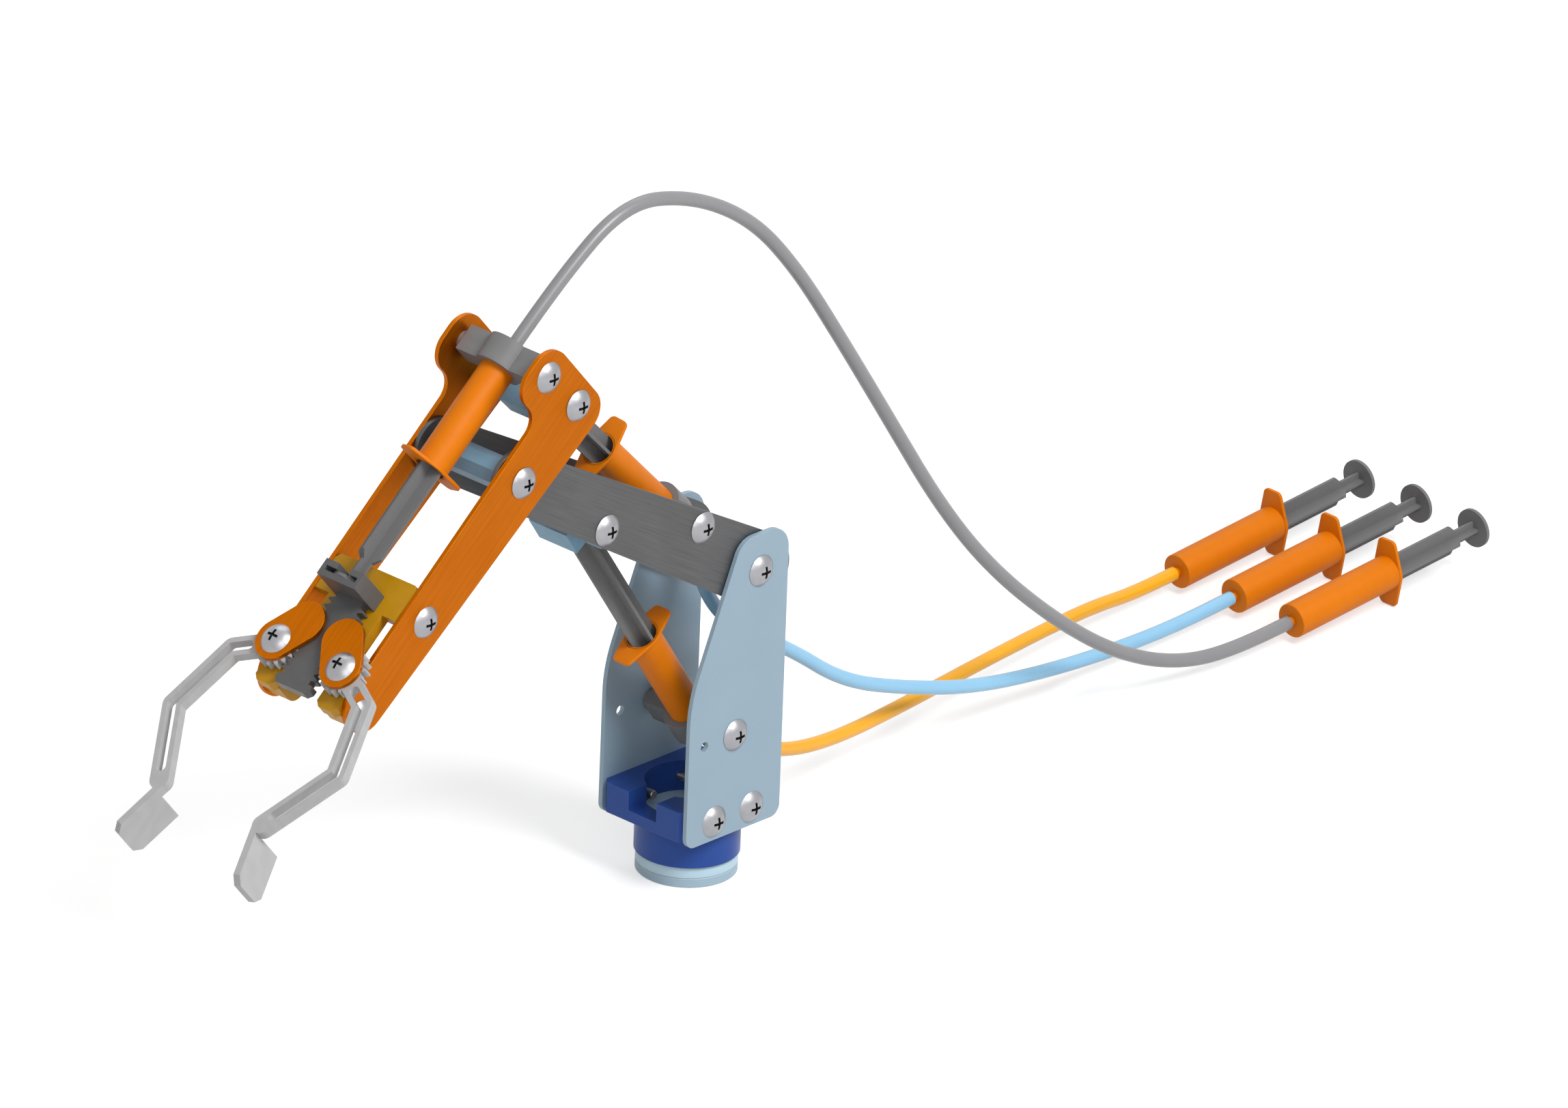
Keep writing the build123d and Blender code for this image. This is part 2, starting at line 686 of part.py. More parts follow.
lift_hose = hose("lift_hose", lift_x, lift_z, lift_angle, 12.0, lift_route, 22.0, control_y_lift)

nodes = {
    "foot": foot,
    "retaining_disc": retaining_disc,
    "retaining_screw": retaining_screw,
    "turntable_block": turntable_block,
    "block_screws": block_screws,
    "side_plate_left": side_plate_left,
    "side_plate_right": side_plate_right,
    "shoulder_screws": shoulder_screws,
    "shoulder_spacer": shoulder_spacer,
    "upper_arm_plate_left": upper_arm_plate_left,
    "upper_arm_plate_right": upper_arm_plate_right,
    "elbow_spacer": elbow_spacer,
    "elbow_screws": elbow_screws,
    "lift_bracket": lift_bracket,
    "lift_bracket_screws": lift_bracket_screws,
    "lift_barrel": lift_barrel,
    "lift_plunger": lift_plunger,
    "lift_seal": lift_seal,
    "lift_holder": lift_holder,
    "lift_holder_screws": lift_holder_screws,
    "elbow_bracket": elbow_bracket,
    "elbow_bracket_screws": elbow_bracket_screws,
    "elbow_barrel": elbow_barrel,
    "elbow_plunger": elbow_plunger,
    "elbow_seal": elbow_seal,
    "elbow_holder": elbow_holder,
    "elbow_holder_screws": elbow_holder_screws,
    "forearm_plate_left": forearm_plate_left,
    "forearm_plate_right": forearm_plate_right,
    "gripper_bracket": gripper_bracket,
    "gripper_bracket_screws": gripper_bracket_screws,
    "gripper_barrel": gripper_barrel,
    "gripper_plunger": gripper_plunger,
    "gripper_seal": gripper_seal,
    "gripper_base": gripper_base,
    "gripper_base_screws": gripper_base_screws,
    "gripper_rack": gripper_rack,
    "finger_left": finger_left,
    "finger_right": finger_right,
    "cover_links": cover_links,
    "finger_screws": finger_screws,
    "control_barrel_grip": control_barrel_grip,
    "control_barrel_elbow": control_barrel_elbow,
    "control_barrel_lift": control_barrel_lift,
    "control_plunger_grip": control_plunger_grip,
    "control_plunger_elbow": control_plunger_elbow,
    "control_plunger_lift": control_plunger_lift,
    "control_seal_grip": control_seal_grip,
    "control_seal_elbow": control_seal_elbow,
    "control_seal_lift": control_seal_lift,
    "gripper_hose": gripper_hose,
    "elbow_hose": elbow_hose,
    "lift_hose": lift_hose,
}
for name, piece in nodes.items():
    export_step(piece, "parts/" + name + ".step")
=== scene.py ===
import json
import math

import bmesh
import bpy
import numpy as np
from mathutils import Matrix, Vector


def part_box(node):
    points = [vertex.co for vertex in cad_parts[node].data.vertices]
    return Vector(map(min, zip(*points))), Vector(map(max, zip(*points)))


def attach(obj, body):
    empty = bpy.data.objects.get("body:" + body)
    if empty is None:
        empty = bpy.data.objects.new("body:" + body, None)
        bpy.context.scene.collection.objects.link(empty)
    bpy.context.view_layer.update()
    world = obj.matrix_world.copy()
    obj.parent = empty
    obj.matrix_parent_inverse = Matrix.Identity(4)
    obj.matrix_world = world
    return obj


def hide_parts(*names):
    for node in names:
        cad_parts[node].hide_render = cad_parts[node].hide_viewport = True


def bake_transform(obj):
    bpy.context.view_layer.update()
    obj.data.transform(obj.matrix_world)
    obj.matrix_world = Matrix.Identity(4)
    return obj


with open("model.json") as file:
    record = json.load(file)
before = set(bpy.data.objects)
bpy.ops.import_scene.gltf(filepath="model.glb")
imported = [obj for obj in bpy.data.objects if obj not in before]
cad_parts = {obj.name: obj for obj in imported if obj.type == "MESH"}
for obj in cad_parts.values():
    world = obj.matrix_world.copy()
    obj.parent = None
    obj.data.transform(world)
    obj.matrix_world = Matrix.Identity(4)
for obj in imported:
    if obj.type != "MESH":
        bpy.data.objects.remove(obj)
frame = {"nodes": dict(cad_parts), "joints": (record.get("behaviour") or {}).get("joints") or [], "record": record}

# Hydraulic robot arm on its table. Metres, +X toward the gripper, +Z up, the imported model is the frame.

scene = bpy.context.scene
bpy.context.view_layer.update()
nodes = frame["nodes"]
joints = {joint["name"]: joint for joint in frame["joints"]}
bodyOf = {
    node: body
    for body, members in frame["record"]["behaviour"]["bodies"].items()
    for node in members
}
mm = 0.001
print("frame loaded:", len(nodes), "nodes")


def colour(hexText):
    # sRGB hex to the linear values that the shaders take
    channels = [int(hexText[i : i + 2], 16) / 255 for i in (1, 3, 5)]
    linear = [c / 12.92 if c <= 0.04045 else ((c + 0.055) / 1.055) ** 2.4 for c in channels]
    return (*linear, 1.0)


def addNode(tree, kind, settings=None, links=None):
    # settings hold the node's own options and its unlinked sockets, links hold the linked ones
    node = tree.nodes.new(kind)
    for key, value in (settings or {}).items():
        if isinstance(key, int) or key in node.inputs:
            node.inputs[key].default_value = value
        else:
            setattr(node, key, value)
    for key, source in (links or {}).items():
        tree.links.new(source, node.inputs[key])
    return node


def smoothStep(values, low, high):
    t = np.clip((values - low) / (high - low), 0, 1)
    return t * t * (3 - 2 * t)


# Camera: a long lens, since the photograph shows almost no perspective. Angles are in degrees, the
# lens and sensor in millimetres, the rest in metres.
shot = {
    "azimuth": 43.24,
    "elevation": 24.52,
    "roll": 2.13,
    "aimRight": 0.0404,
    "aimUp": 0.12894,
    "viewWidth": 0.6468,
    "lens": 1150.0,
    "sensor": 36.0,
    "clipStart": 0.1,
}


def outward(azimuth, elevation):
    # the direction from the origin at an azimuth from +X and an elevation, both in degrees
    turn = math.radians(azimuth)
    rise = math.radians(elevation)
    return Vector((math.cos(rise) * math.cos(turn), math.cos(rise) * math.sin(turn), math.sin(rise)))


def addCamera(shot):
    roll = math.radians(shot["roll"])
    toCamera = outward(shot["azimuth"], shot["elevation"])
    level = outward(shot["azimuth"] + 90, 0)
    upright = toCamera.cross(level)
    right = level * math.cos(roll) + upright * math.sin(roll)
    up = upright * math.cos(roll) - level * math.sin(roll)
    data = bpy.data.cameras.new("photoCamera")
    data.lens = shot["lens"]
    data.sensor_width = shot["sensor"]
    distance = shot["viewWidth"] * data.lens / data.sensor_width
    data.clip_start = shot["clipStart"]
    data.clip_end = 3 * distance
    camera = bpy.data.objects.new("photoCamera", data)
    turn = Matrix((right, up, toCamera)).transposed().to_4x4()
    target = right * shot["aimRight"] + up * shot["aimUp"]
    camera.matrix_world = Matrix.Translation(target + toCamera * distance) @ turn
    scene.collection.objects.link(camera)
    scene.camera = camera


addCamera(shot)
print("camera set")

# The Bevel node's normal parts from the face's near an edge: wear starts at the first cosine
# between the two and is full at the second
wear = {"samples": 6, "starts": 0.995, "full": 0.86}


# Every finish starts here: two close tones that drift over the surface, a roughness that drifts
# with them, and a fine raised grain. The Bevel node rounds the light on edges that real parts have
# broken, and gives a mask for paint or plastic that is rubbed there.
def newFinish(name, look):
    material = bpy.data.materials.new(name)
    material.use_nodes = True
    tree = material.node_tree
    shader = tree.nodes["Principled BSDF"]
    shader.inputs["Metallic"].default_value = look.get("metallic", 0.0)
    shader.inputs["Specular IOR Level"].default_value = look.get("gloss", 0.5)
    if "ior" in look:
        shader.inputs["IOR"].default_value = look["ior"]
    place = addNode(tree, "ShaderNodeTexCoord").outputs["Object"]
    turnedPlace = addNode(
        tree,
        "ShaderNodeMapping",
        {"vector_type": "TEXTURE", "Rotation": (0, math.radians(look.get("grainTurn", 0)), 0)},
        {"Vector": place},
    ).outputs[0]
    patches = addNode(
        tree,
        "ShaderNodeTexNoise",
        {"Scale": 1 / (look["patchMm"] * mm), "Detail": 2.0},
        {"Vector": place},
    ).outputs[0]
    tone = addNode(
        tree,
        "ShaderNodeMix",
        {"data_type": "RGBA", 6: colour(look["tone"]), 7: colour(look["otherTone"])},
        {0: patches},
    ).outputs[2]
    soft = addNode(
        tree, "ShaderNodeBevel", {"samples": wear["samples"], "Radius": look["edgeMm"] * mm}
    ).outputs[0]
    flat = addNode(tree, "ShaderNodeNewGeometry").outputs["Normal"]
    facing = addNode(
        tree, "ShaderNodeVectorMath", {"operation": "DOT_PRODUCT"}, {0: soft, 1: flat}
    ).outputs["Value"]
    edge = addNode(
        tree,
        "ShaderNodeMapRange",
        {"From Min": wear["starts"], "From Max": wear["full"], "To Min": 0.0, "To Max": look["edgeWear"]},
        {0: facing},
    ).outputs[0]
    tone = addNode(
        tree, "ShaderNodeMix", {"data_type": "RGBA", 7: colour(look["edgeTone"])}, {0: edge, 6: tone}
    ).outputs[2]
    rough = addNode(
        tree,
        "ShaderNodeMapRange",
        {"From Min": 0.3, "From Max": 0.7, "To Min": look["rough"][0], "To Max": look["rough"][1]},
        {0: patches},
    ).outputs[0]
    grain = addNode(
        tree,
        "ShaderNodeTexNoise",
        {"Scale": 1 / (look["grainMm"] * mm), "Detail": 2.0},
        {"Vector": turnedPlace},
    ).outputs[0]
    bump = addNode(
        tree,
        "ShaderNodeBump",
        {"Strength": 1.0, "Distance": look["grainDepthMm"] * mm},
        {"Height": grain, "Normal": soft},
    ).outputs[0]
    tree.links.new(tone, shader.inputs["Base Color"])
    tree.links.new(rough, shader.inputs["Roughness"])
    tree.links.new(bump, shader.inputs["Normal"])
    return {
        "material": material,
        "tree": tree,
        "shader": shader,
        "turnedPlace": turnedPlace,
        "tone": tone,
        "bump": bump,
    }


# Powder coat on steel: an orange peel a millimetre across that breaks up the highlights
coatedSteel = {
    "tone": "#9DB4C2",
    "otherTone": "#97AEBD",
    "edgeTone": "#B9CAD5",
    "edgeWear": 0.7,
    "edgeMm": 0.35,
    "patchMm": 24,
    "rough": (0.38, 0.48),
    "grainMm": 1.1,
    "grainDepthMm": 0.02,
}

# The same coat, paler, on the turned ring and disc that hold the turret: painted light, for the light that falls
# on their upward faces and into the shaded well
litCoatPaintedLight = dict(coatedSteel, tone="#B4CEDB", otherTone="#AEC9D6", edgeTone="#CBDEE7", rough=(0.3, 0.4))

# Blue enamel on an aluminium casting: smoother than the powder coat, with a longer ripple
blueEnamel = {
    "gloss": 0.2,
    "tone": "#284B96",
    "otherTone": "#25468E",
    "edgeTone": "#3B61AC",
    "edgeWear": 0.7,
    "edgeMm": 0.35,
    "patchMm": 18,
    "rough": (0.3, 0.4),
    "grainMm": 1.6,
    "grainDepthMm": 0.02,
}

# Powder coat on laser-cut aluminium sheet
coatedSheet = dict(
    coatedSteel, tone="#8EA5B4", otherTone="#899FAF", edgeTone="#AFC0CC", edgeMm=0.2, patchMm=30
)


def coated(name, look):
    return newFinish(name, look)["material"]


# Brushed and anodised aluminium sheet: long fine scratches along the plate under a dyed skin
darkAnodised = {
    "metallic": 1.0,
    "tone": "#646465",
    "otherTone": "#5E5E5F",
    "edgeTone": "#85858A",
    "edgeWear": 0.8,
    "edgeMm": 0.2,
    "patchMm": 26,
    "rough": (0.44, 0.54),
    "grainMm": 0.9,
    "grainDepthMm": 0.004,
    "scratchMm": 0.5,  # real scratches are near 0.05 mm, drawn coarser to show
    "scratchLengthMm": 30,
    "scratchDepthMm": 0.006,
    "scratchTone": 0.10,
    "grainTurn": -30.05,
}
orangeAnodised = dict(
    darkAnodised,
    tone="#BE6600",
    otherTone="#B76100",
    edgeTone="#DE8C2A",
    scratchTone=0.08,
    grainTurn=40.9,
)


def anodised(name, look):
    finish = newFinish(name, look)
    tree = finish["tree"]
    across = 1 / (look["scratchMm"] * mm)
    along = 1 / (look["scratchLengthMm"] * mm)
    stretched = addNode(
        tree, "ShaderNodeMapping", {"Scale": (along, across, across)}, {"Vector": finish["turnedPlace"]}
    ).outputs[0]
    scratches = addNode(
        tree, "ShaderNodeTexNoise", {"Scale": 1.0, "Detail": 3.0}, {"Vector": stretched}
    ).outputs[0]
    darker = 1 - look["scratchTone"]
    lighter = 1 + look["scratchTone"]
    shade = addNode(
        tree,
        "ShaderNodeMapRange",
        {"From Min": 0.35, "From Max": 0.65, "To Min": darker, "To Max": lighter},
        {0: scratches},
    ).outputs[0]
    tone = addNode(
        tree, "ShaderNodeVectorMath", {"operation": "SCALE"}, {0: finish["tone"], "Scale": shade}
    ).outputs[0]
    bump = addNode(
        tree,
        "ShaderNodeBump",
        {"Strength": 1.0, "Distance": look["scratchDepthMm"] * mm},
        {"Height": scratches, "Normal": finish["bump"]},
    ).outputs[0]
    tree.links.new(tone, finish["shader"].inputs["Base Color"])
    tree.links.new(bump, finish["shader"].inputs["Normal"])
    return finish["material"]


# Injection-moulded plastic: a spark-eroded grain and faint flow marks where the melt cooled
mustardAbs = {
    "ior": 1.54,
    "tone": "#BC8800",
    "otherTone": "#B58200",
    "edgeTone": "#D2A233",
    "edgeWear": 0.5,
    "edgeMm": 0.2,
    "patchMm": 16,
    "rough": (0.42, 0.52),
    "grainMm": 0.7,
    "grainDepthMm": 0.012,
    "flowMm": 9,
    "flowTone": 0.025,
    "gloss": 0.3,
}
paleGreyAbs = dict(mustardAbs, tone="#AFAFAF", otherTone="#A9A9AA", edgeTone="#C8C8C8", edgeMm=0.12)
darkGreyAcetal = dict(
    mustardAbs, ior=1.48, tone="#5A5A5A", otherTone="#545455", edgeTone="#777777", rough=(0.34, 0.44)
)
midGreyAbs = dict(mustardAbs, tone="#767676", otherTone="#707071", edgeTone="#929292")
paleBlueAbs = dict(mustardAbs, tone="#799FB7", otherTone="#7299B1", edgeTone="#9ABBCF")
orangePolypropylene = dict(
    mustardAbs,
    ior=1.49,
    tone="#D67400",
    otherTone="#D27000",
    edgeTone="#E48C22",
    rough=(0.46, 0.54),
    grainDepthMm=0.003,
    edgeMm=0.1,
    flowTone=0.01,
    gloss=0.18,
)
charcoalPolypropylene = dict(
    orangePolypropylene, tone="#737373", otherTone="#6E6E6F", edgeTone="#989898", edgeMm=0.05
)


# A wave texture of scale 1 repeats about every 0.3 m
waveLength = 0.3


def moulded(name, look):
    finish = newFinish(name, look)
    tree = finish["tree"]
    scale = waveLength / (look["flowMm"] * mm)
    flow = addNode(
        tree,
        "ShaderNodeTexWave",
        {"Scale": scale, "Distortion": 14.0, "Detail": 2.0, "Detail Scale": 1.5},
        {"Vector": finish["turnedPlace"]},
    ).outputs[1]
    darker = 1 - look["flowTone"]
    lighter = 1 + look["flowTone"]
    shade = addNode(
        tree, "ShaderNodeMapRange", {"To Min": darker, "To Max": lighter}, {0: flow}
    ).outputs[0]
    tone = addNode(
        tree, "ShaderNodeVectorMath", {"operation": "SCALE"}, {0: finish["tone"], "Scale": shade}
    ).outputs[0]
    tree.links.new(tone, finish["shader"].inputs["Base Color"])
    return finish["material"]


# Nitrile rubber of the piston seals: black and dull
sealRubber = {
    "ior": 1.52,
    "tone": "#1B1B1B",
    "otherTone": "#161616",
    "edgeTone": "#2C2C2C",
    "edgeWear": 0.4,
    "edgeMm": 0.3,
    "patchMm": 5,
    "rough": (0.6, 0.7),
    "grainMm": 0.6,
    "grainDepthMm": 0.01,
}

# Bright zinc plate on rolled screws: a metal sheen, softened by a cloudy passivated film
zincPlate = {
    "metallic": 1.0,
    "tone": "#A6A6A9",
    "otherTone": "#9C9CA0",
    "edgeTone": "#BEBEC0",
    "edgeWear": 0.3,
    "edgeMm": 0.1,
    "patchMm": 3,
    "rough": (0.33, 0.42),
    "grainMm": 0.5,
    "grainDepthMm": 0.002,
}

# The same plate down in the cross recess, painted dark and made rougher: painted shade for the shade that falls in
# the recess
recessShadeZinc = dict(zincPlate, tone="#3C3C3E", otherTone="#333335", edgeTone="#4A4A4C", rough=(0.55, 0.65))

# Extruded polyurethane tube: glossy, with a thin clear skin over faint cloudy patches
greyTube = {
    "ior": 1.5,
    "tone": "#858587",
    "otherTone": "#7F7F81",
    "edgeTone": "#959597",
    "edgeWear": 0.0,
    "edgeMm": 0.1,
    "patchMm": 14,
    "rough": (0.3, 0.36),
    "grainMm": 2.5,
    "grainDepthMm": 0.002,
    "skin": 0.06,
    "skinRough": 0.1,
}
blueTube = dict(greyTube, tone="#8EC2E2", otherTone="#87BBDC", edgeTone="#9ED0EC")
yellowTube = dict(greyTube, tone="#F2AA00", otherTone="#EBA300", edgeTone="#FFBC28")


def tubing(name, look):
    finish = newFinish(name, look)
    shader = finish["shader"]
    shader.inputs["Coat Weight"].default_value = look["skin"]
    shader.inputs["Coat Roughness"].default_value = look["skinRough"]
    return finish["material"]


finishes = {
    "foot_metal": coated("powderCoatedSteel", coatedSteel),
    "block_metal": coated("enamelledAluminiumCasting", blueEnamel),
    "side_metal": coated("powderCoatedAluminiumSheet", coatedSheet),
    "arm_metal": anodised("darkAnodisedAluminiumSheet", darkAnodised),
    "forearm_metal": anodised("orangeAnodisedAluminiumSheet", orangeAnodised),
    "base_plastic": moulded("mustardMouldedAbs", mustardAbs),
    "finger_plastic": moulded("paleGreyMouldedAbs", paleGreyAbs),
    "rack_plastic": moulded("darkGreyMouldedAcetal", darkGreyAcetal),
    "bracket_plastic": moulded("midGreyMouldedAbs", midGreyAbs),
    "holder_plastic": moulded("paleBlueMouldedAbs", paleBlueAbs),
    "screw_steel": coated("zincPlatedScrewSteel", zincPlate),
    "barrel_plastic": moulded("orangeMouldedPolypropylene", orangePolypropylene),
    "plunger_plastic": moulded("charcoalMouldedPolypropylene", charcoalPolypropylene),
    "seal_rubber": coated("blackNitrileRubber", sealRubber),
    "hose_grey": tubing("greyExtrudedPolyurethane", greyTube),
    "hose_blue": tubing("paleBlueExtrudedPolyurethane", blueTube),
    "hose_yellow": tubing("yellowExtrudedPolyurethane", yellowTube),
}
# the zinc painted dark as shade in the cross recess
paintedRecessShadeFinish = coated("zincPaintedWithRecessShade", recessShadeZinc)
# the coat painted paler: painted light on the ring and the retaining disc
paintedLightFinish = coated("powderCoatedSteelPaintedLit", litCoatPaintedLight)
slotOf = {part["node"]: part["material_slot"] for part in frame["record"]["subparts"]}
for name, node in nodes.items():
    for slot in node.material_slots:
        # the retaining disc takes the coat painted paler: painted light in its shaded well
        slot.material = paintedLightFinish if name == "retaining_disc" else finishes[slotOf[name]]
print("finishes on", len(nodes), "nodes:", len(finishes) + 2, "materials")


def gridFaces(rows, columns, first, closed):
    # quads between neighbours of a rows by columns grid, wrapped round the columns when closed
    r = np.arange(rows - 1)[:, None]
    c = np.arange(columns if closed else columns - 1)[None, :]
    right = (c + 1) % columns
    quad = (r * columns + c, (r + 1) * columns + c, (r + 1) * columns + right, r * columns + right)
    return first + np.stack(quad, axis=-1).reshape(-1, 4)


weldDistance = 1e-6


def addPiece(name, grids, materials, body, sharpAngle, paint=None):
    # grids are (points as rows x columns x 3, closed round the columns or not), and paint gives
    # each grid's faces their place in materials
    points = []
    faces = []
    first = 0
    for grid, closed in grids:
        rows, columns = grid.shape[:2]
        points.append(grid.reshape(-1, 3))
        faces.append(gridFaces(rows, columns, first, closed))
        first += rows * columns
    mesh = bpy.data.meshes.new(name)
    mesh.from_pydata(np.concatenate(points).tolist(), [], np.concatenate(faces).tolist())
    for material in materials:
        mesh.materials.append(material)
    if paint is not None:
        mesh.polygons.foreach_set("material_index", np.concatenate(paint))
    build = bmesh.new()
    build.from_mesh(mesh)
    bmesh.ops.remove_doubles(build, verts=build.verts, dist=weldDistance)
    bmesh.ops.recalc_face_normals(build, faces=build.faces)
    build.to_mesh(mesh)
    build.free()
    mesh.shade_smooth()
    mesh.set_sharp_from_angle(angle=math.radians(sharpAngle))
    piece = bpy.data.objects.new(name, mesh)
    scene.collection.objects.link(piece)
    if body:
        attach(piece, body)
    return piece


def setOn(points, origin, across, axis):
    # carries points drawn about +Z to an axis through origin, with +X along across
    side = np.cross(axis, across)
    return origin + points @ np.stack([across, side, axis])


# Hoses: each a smooth curve through the air from its cylinder's nose to its hand syringe. The runs
# give the two bodies that each stretch of it runs between, and where the stretch starts and ends. The hose is cut
# into one piece for each run.
hoses = {
    "gripper_hose": {
        "length": 0.606,
        "points": [
            (0.11477, 0, 0.26916),
            (0.08907, 0, 0.29142),
            (0.052, 0.00133, 0.3165),
            (0.014, 0.0027, 0.3085),
            (-0.021, 0.00395, 0.288),
            (-0.048, 0.00492, 0.258),
            (-0.075, 0.00589, 0.2185),
            (-0.104, 0.00693, 0.1745),
            (-0.135, 0.00805, 0.127),
            (-0.166, 0.00916, 0.089),
            (-0.205, 0.01056, 0.0535),
            (-0.243, 0.01193, 0.0265),
            (-0.28, 0.01326, 0.011),
            (-0.31461, 0.0145, 0.0079),
            (-0.34451, 0.0145, 0.01043),
        ],
        "runs": [
            {
                "bodies": ("forearm", "upper_arm"),
                "start": (0.109, 0, 0.274),
                "end": (0.033, 0.0018, 0.312),
            },
            {
                "bodies": ("upper_arm", "frame"),
                "start": (0.033, 0.0018, 0.312),
                "end": (-0.25, 0.012, 0.025),
            },
        ],
    },
    "elbow_hose": {
        "length": 0.4183,
        "points": [
            (0.01792, 0, 0.16444),
            (0.00594, 0, 0.15238),
            (-0.0015, -0.00043, 0.133),
            (-0.012, -0.00104, 0.1135),
            (-0.031, -0.00213, 0.097),
            (-0.062, -0.00392, 0.0785),
            (-0.096, -0.00588, 0.053),
            (-0.135, -0.00813, 0.037),
            (-0.18, -0.01073, 0.0225),
            (-0.225, -0.01333, 0.0146),
            (-0.27, -0.01593, 0.0099),
            (-0.31461, -0.0185, 0.0079),
            (-0.34451, -0.0185, 0.01043),
        ],
        "runs": [
            {
                "bodies": ("upper_arm", "frame"),
                "start": (0.012, 0, 0.158),
                "end": (-0.096, -0.006, 0.053),
            },
        ],
    },
    "lift_hose": {
        "length": 0.3579,
        "points": [
            (-0.00272, 0, 0.0643),
            (-0.00946, 0, 0.05437),
            (-0.0212, -0.00193, 0.0464),
            (-0.04, -0.00502, 0.0414),
            (-0.067, -0.00946, 0.0285),
            (-0.102, -0.01522, 0.0213),
            (-0.147, -0.02262, 0.0188),
            (-0.195, -0.03052, 0.0179),
            (-0.243, -0.03841, 0.0163),
            (-0.288, -0.04581, 0.0139),
            (-0.32259, -0.0515, 0.00858),
            (-0.34451, -0.0515, 0.01043),
        ],
        "runs": [
            {
                "bodies": ("lift_cylinder", "frame"),
                "start": (-0.006, 0, 0.06),
                "end": (-0.067, -0.009, 0.0285),
            },
        ],
    },
}
hoseShape = {"diameter": 0.006, "around": 24, "pointsPerStep": 12, "sharpAngle": 60}


def hosePath(hose):
    # the line of a NURBS spline with the route's points as its control points
    curve = bpy.data.curves.new("route", "CURVE")
    curve.dimensions = "3D"
    spline = curve.splines.new("NURBS")
    spline.points.add(len(hose["points"]) - 1)
    spline.points.foreach_set("co", np.insert(hose["points"], 3, 1.0, axis=1).ravel())
    spline.order_u = 3
    spline.use_endpoint_u = True
    spline.resolution_u = hoseShape["pointsPerStep"]
    guide = bpy.data.objects.new("route", curve)
    line = bpy.data.meshes.new_from_object(guide)
    path = np.empty(3 * len(line.vertices))
    line.vertices.foreach_get("co", path)
    bpy.data.objects.remove(guide)
    bpy.data.meshes.remove(line)
    return path.reshape(-1, 3)


def hoseGrid(path):
    # a circle carried along the path: its plane is square to the path and one of its axes is level
    along = np.gradient(path, axis=0)
    along /= np.linalg.norm(along, axis=1, keepdims=True)
    level = np.array([0, 1.0, 0]) - along * along[:, 1:2]
    level /= np.linalg.norm(level, axis=1, keepdims=True)
    upright = np.cross(along, level)
    angle = 2 * np.pi * np.arange(hoseShape["around"])[:, None] / hoseShape["around"]
    radius = hoseShape["diameter"] / 2
    return path[:, None] + radius * (level[:, None] * np.cos(angle) + upright[:, None] * np.sin(angle))


def addHose(node, hose):
    # One piece for each run, cut where the path passes the run's end, with its share of the length.
    # Its ends are closed by rings drawn in to the path.
    path = hosePath(hose)
    grid = hoseGrid(path)
    cuts = [0, len(path) - 1]
    for run in hose["runs"][:-1]:
        cuts.insert(-1, int(np.argmin(np.linalg.norm(path - run["end"], axis=1))))
    for number, run in enumerate(hose["runs"]):
        first, last = cuts[number : number + 2]
        ends = [np.repeat(path[i][None, None], hoseShape["around"], axis=1) for i in (first, last)]
        rings = np.concatenate([ends[0], grid[first : last + 1], ends[1]])
        name = node + "_tube" + (str(number + 1) if len(hose["runs"]) > 1 else "")
        finish = finishes[slotOf[node]]
        stretch = addPiece(name, [(rings, True)], [finish], None, hoseShape["sharpAngle"])
        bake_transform(stretch)
        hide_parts(node)


for node, hose in hoses.items():
    addHose(node, hose)
print("hoses laid:", len(hoses))


def turned(profile, around):
    # a profile of (radius, height) carried round the Z axis
    angle = 2 * np.pi * np.arange(around) / around
    radius, height = np.array(profile).T[:, :, None]
    return np.stack([radius * np.cos(angle), radius * np.sin(angle), height + 0 * angle], axis=-1)


# Foot: a turned base with broken edges, a groove, a rounded ring painted paler as painted light, and the spindle
foot = {
    "radius": 0.0213,
    "brokenEdge": 0.0004,
    "grooveHeight": 0.0042,
    "grooveDepth": 0.0003,
    "ringHeight": 0.0092,
    "ringTopRadius": 0.0203,
    "spindleRadius": 0.012,
    "spindleTop": 0.0233,
    "ringSteps": 12,
    "around": 128,
    "sharpAngle": 35,
}


def addFoot(node, foot):
    # The profile goes up the base and the groove, then the ring's side, a quarter of an ellipse,
    # and then the spindle.
    radius = foot["radius"]
    broken = foot["brokenEdge"]
    height = foot["grooveHeight"]
    depth = foot["grooveDepth"]
    low = height + depth
    top = foot["ringHeight"]
    quarter = np.linspace(0, np.pi / 2, foot["ringSteps"])
    ring = np.stack(
        [
            foot["ringTopRadius"] + (radius - foot["ringTopRadius"]) * np.cos(quarter),
            low + (top - low) * np.sin(quarter),
        ],
        axis=1,
    )
    base = [(0, 0), (radius - broken, 0), (radius, broken), (radius, height - depth), (radius - depth, height)]
    spindle = [(foot["spindleRadius"], top), (foot["spindleRadius"], foot["spindleTop"])]
    grid = turned(np.concatenate([base, ring, spindle, [(0, foot["spindleTop"])]]), foot["around"])
    paint = np.zeros((len(grid) - 1, foot["around"]), int)
    # the ring, the spindle and its top take the coat painted paler: painted light
    paint[len(base) :] = 1
    materials = [finishes[slotOf[node]], paintedLightFinish]
    piece = addPiece(
        node + "_turning", [(grid, True)], materials, bodyOf[node], foot["sharpAngle"], [paint.ravel()]
    )
    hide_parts(node)


addFoot("foot", foot)
print("foot turned")


